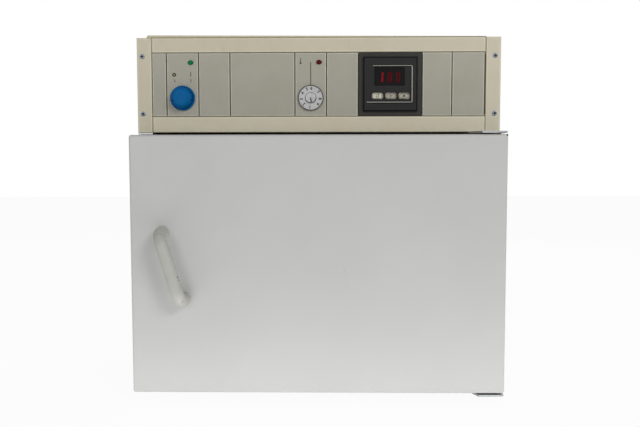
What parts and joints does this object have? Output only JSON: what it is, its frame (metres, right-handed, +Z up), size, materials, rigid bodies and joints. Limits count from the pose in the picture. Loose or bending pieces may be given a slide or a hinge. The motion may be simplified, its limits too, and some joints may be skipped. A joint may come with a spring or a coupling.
{
  "type": "laboratory oven",
  "caption": "Bench laboratory oven: side-hinged insulated door with slanted bow handle, heated steel chamber, front-framed control unit on top, rear vent with flap.",
  "frame": {"origin": "under the middle of the whole oven, on the plane its feet stand on", "axes": "+Z up, the door and the control panel face -Y, +X to the right of a viewer in front of the oven"},
  "size_m": [0.655, 0.6089, 0.6542],
  "materials": {
    "black_plastic": "satin",
    "blue_plastic": "gloss",
    "bronze": "satin",
    "cream_plastic": "satin",
    "dark_panel": "satin",
    "dial_metal": "satin",
    "door_paint": "satin",
    "frame_paint": "satin",
    "green_lens": "gloss",
    "grey_plastic": "satin",
    "heater_steel": "satin",
    "mineral_wool": "matte",
    "panel_paint": "satin",
    "red_lens": "gloss",
    "rubber": "matte",
    "shell_paint": "satin",
    "silicone": "matte",
    "stainless": "satin",
    "window_plastic": "gloss",
    "zinc_steel": "satin"
  },
  "bodies": {
    "oven": {"beam_lower": "frame_paint", "beam_upper": "frame_paint", "cabinet_insulation": "mineral_wool", "cabinet_shell": "shell_paint", "chamber_liner": "stainless", "control_hood": "frame_paint", "controller_case": "black_plastic", "controller_window": "window_plastic", "floor_plate": "stainless", "foot_front_left": "rubber", "foot_front_right": "rubber", "foot_rear_left": "rubber", "foot_rear_right": "rubber", "heating_element": "heater_steel", "hinge_plate_lower": "zinc_steel", "hinge_plate_upper": "zinc_steel", "limiter_body": "cream_plastic", "limiter_bulb": "zinc_steel", "limiter_capillary": "zinc_steel", "limiter_lamp": "red_lens", "mains_inlet": "black_plastic", "mains_lamp": "green_lens", "mains_switch_body": "black_plastic", "panel_blank_double": "panel_paint", "panel_blank_middle": "panel_paint", "panel_blank_narrow": "panel_paint", "panel_blank_right": "panel_paint", "panel_blank_single": "panel_paint", "panel_controller": "dark_panel", "panel_filler_left": "panel_paint", "panel_limiter": "panel_paint", "panel_mains_switch": "panel_paint", "post_left": "frame_paint", "post_right": "frame_paint", "post_screw_lower_left": "zinc_steel", "post_screw_lower_right": "zinc_steel", "post_screw_upper_left": "zinc_steel", "post_screw_upper_right": "zinc_steel", "post_spacer": "zinc_steel", "rear_cover": "shell_paint", "shelf_rack_left": "stainless", "shelf_rack_right": "stainless", "temperature_probe": "stainless", "vent_tube": "stainless", "wire_shelf_lower": "stainless", "wire_shelf_upper": "stainless"},
    "door": {"door_pan": "door_paint", "door_inner_panel": "stainless", "door_insulation": "mineral_wool", "door_gasket": "silicone", "door_handle": "grey_plastic", "door_magnet": "black_plastic", "hinge_bush_upper": "bronze", "hinge_bush_lower": "bronze"},
    "mains_knob": {"mains_switch_knob": "blue_plastic"},
    "limiter_dial": {"limiter_dial": "dial_metal"},
    "vent_flap": {"vent_flap": "stainless"},
    "button_page": {"button_page": "cream_plastic"},
    "button_down": {"button_down": "cream_plastic"},
    "button_up": {"button_up": "cream_plastic"}
  },
  "joints": [
    {"name": "door_swing", "type": "hinge", "parent": "oven", "child": "door", "pos_m": [0.3095, -0.23525, 0.2474], "axis": [0, 0, 1], "range_deg": [0, 180]},
    {"name": "mains_switch_turn", "type": "hinge", "parent": "oven", "child": "mains_knob", "pos_m": [-0.24493, -0.18755, 0.54215], "axis": [0, 1, 0], "range_deg": [0, 50]},
    {"name": "limiter_dial_turn", "type": "hinge", "parent": "oven", "child": "limiter_dial", "pos_m": [-0.01356, -0.18755, 0.54215], "axis": [0, 1, 0], "range_deg": [0, 280]},
    {"name": "vent_flap_turn", "type": "hinge", "parent": "oven", "child": "vent_flap", "pos_m": [0.12, 0.27945, 0.3424], "axis": [-1, 0, 0], "range_deg": [0, 90]},
    {"name": "button_page_press", "type": "slide", "parent": "oven", "child": "button_page", "axis": [0, 1, 0], "range_m": [0, 0.001], "stiffness_N_per_m": 600, "springref_m": -0.0005},
    {"name": "button_down_press", "type": "slide", "parent": "oven", "child": "button_down", "axis": [0, 1, 0], "range_m": [0, 0.001], "stiffness_N_per_m": 600, "springref_m": -0.0005},
    {"name": "button_up_press", "type": "slide", "parent": "oven", "child": "button_up", "axis": [0, 1, 0], "range_m": [0, 0.001], "stiffness_N_per_m": 600, "springref_m": -0.0005}
  ]
}
